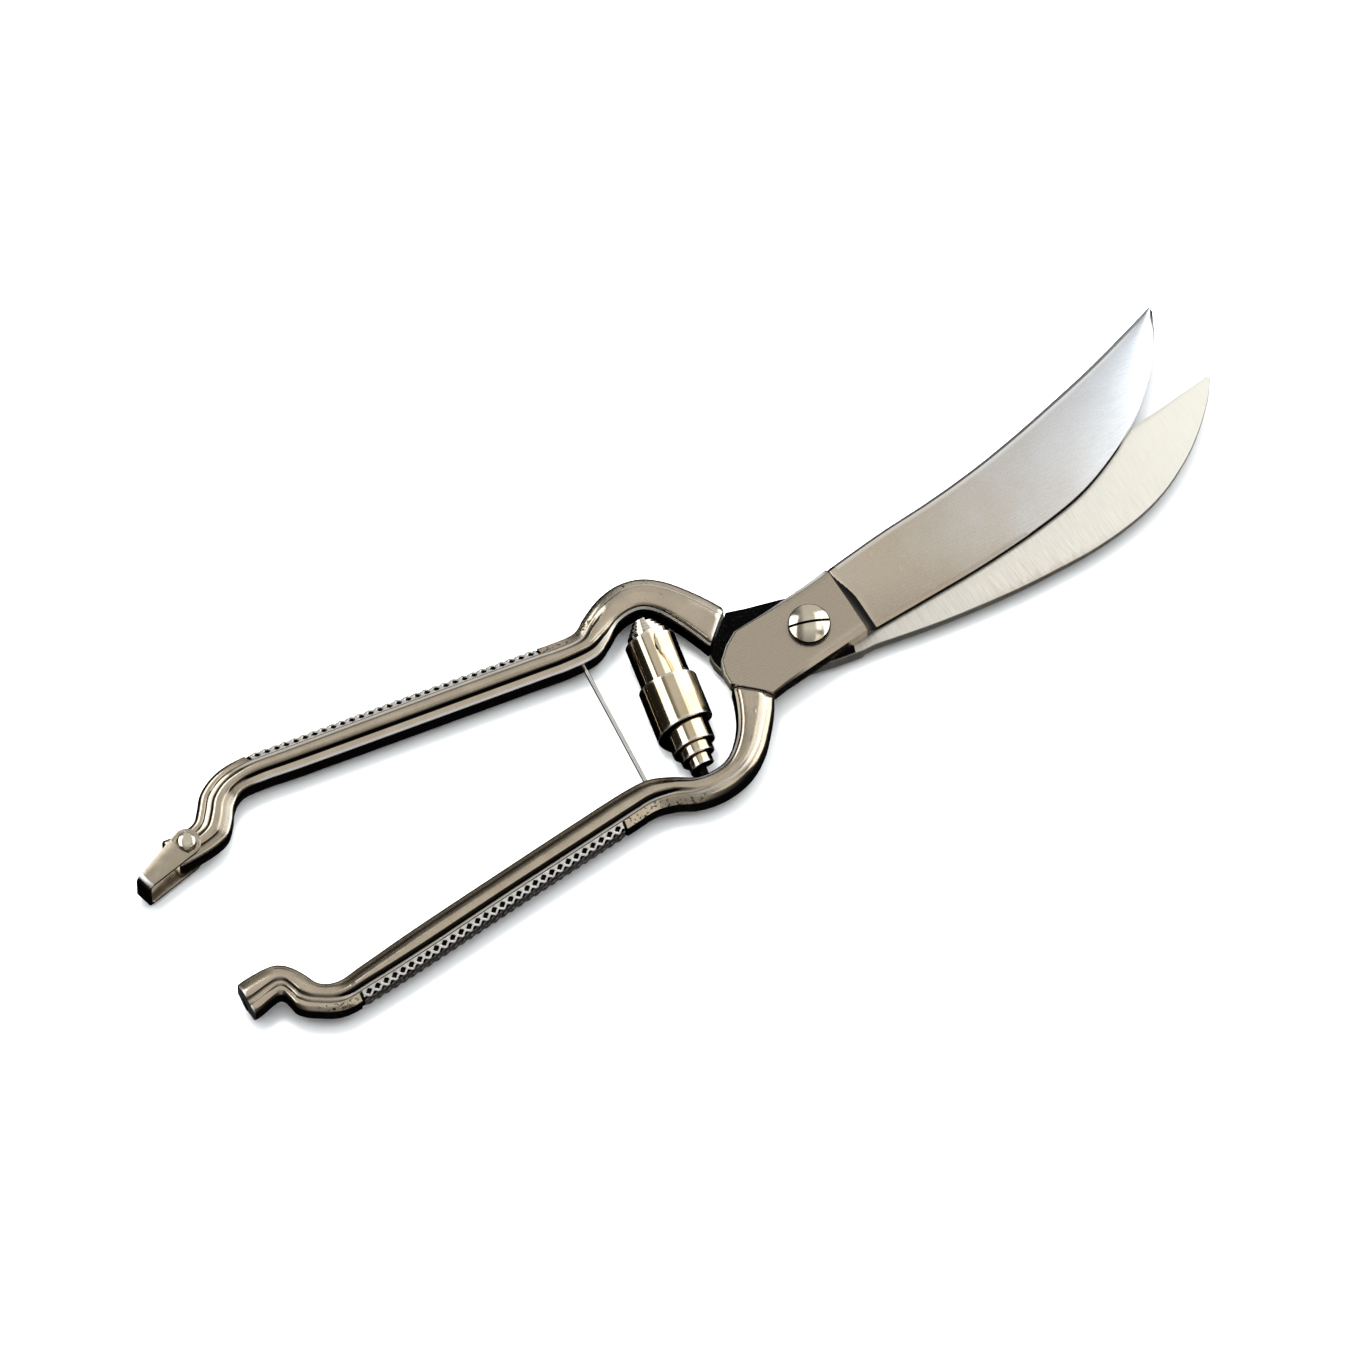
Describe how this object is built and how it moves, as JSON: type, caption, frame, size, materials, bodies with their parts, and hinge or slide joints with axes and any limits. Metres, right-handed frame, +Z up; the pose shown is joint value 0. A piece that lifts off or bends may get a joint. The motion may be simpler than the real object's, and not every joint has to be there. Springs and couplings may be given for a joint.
{
  "type": "poultry shears",
  "caption": "Sprung poultry shears with curved blades, bow handles, a volute spring between the handles and a swinging catch strap that hooks over the handle ends.",
  "frame": {"origin": "on the pivot axis, at the plane the shears lie on, under the pivot nut", "axes": "+X along the shears from the pivot towards the blade tips, +Y towards the upper (rear) handle, +Z up through the pivot screw's slotted head"},
  "size_m": [0.2561, 0.0612, 0.0134],
  "materials": {
    "blade_steel": "fine brushed steel, brighter towards the tips",
    "handle_nickel": "warm nickel plate over forged steel, softly polished",
    "fitting_nickel": "nickel-plated small fittings",
    "spring_steel": "bright rolled spring strip",
    "wire_steel": "bright drawn wire"
  },
  "bodies": {
    "front_half": {"front_blade": "blade_steel", "front_handle": "handle_nickel", "pivot_screw": "fitting_nickel", "pivot_nut": "fitting_nickel", "lower_volute_spring": "spring_steel", "lower_spring_stud": "fitting_nickel", "limiter_wire": "wire_steel"},
    "rear_half": {"rear_blade": "blade_steel", "rear_handle": "handle_nickel", "upper_volute_spring": "spring_steel", "upper_spring_stud": "fitting_nickel", "catch_rivet": "fitting_nickel"},
    "catch": {"catch_strap": "fitting_nickel"}
  },
  "joints": [
    {"name": "main_pivot", "type": "hinge", "parent": "front_half", "child": "rear_half", "pos_m": [0, 0, 0.0068], "axis": [0, 0, 1], "range_deg": [0, 11.2], "stiffness_Nm_per_rad": 7.6, "springref_deg": -2.86, "deforming": ["lower_volute_spring", "upper_volute_spring", "limiter_wire"]},
    {"name": "catch_swing", "type": "hinge", "parent": "rear_half", "child": "catch", "pos_m": [-0.139, 0.0225, 0.0068], "axis": [0, 0, 1], "range_deg": [-30, 65]}
  ]
}
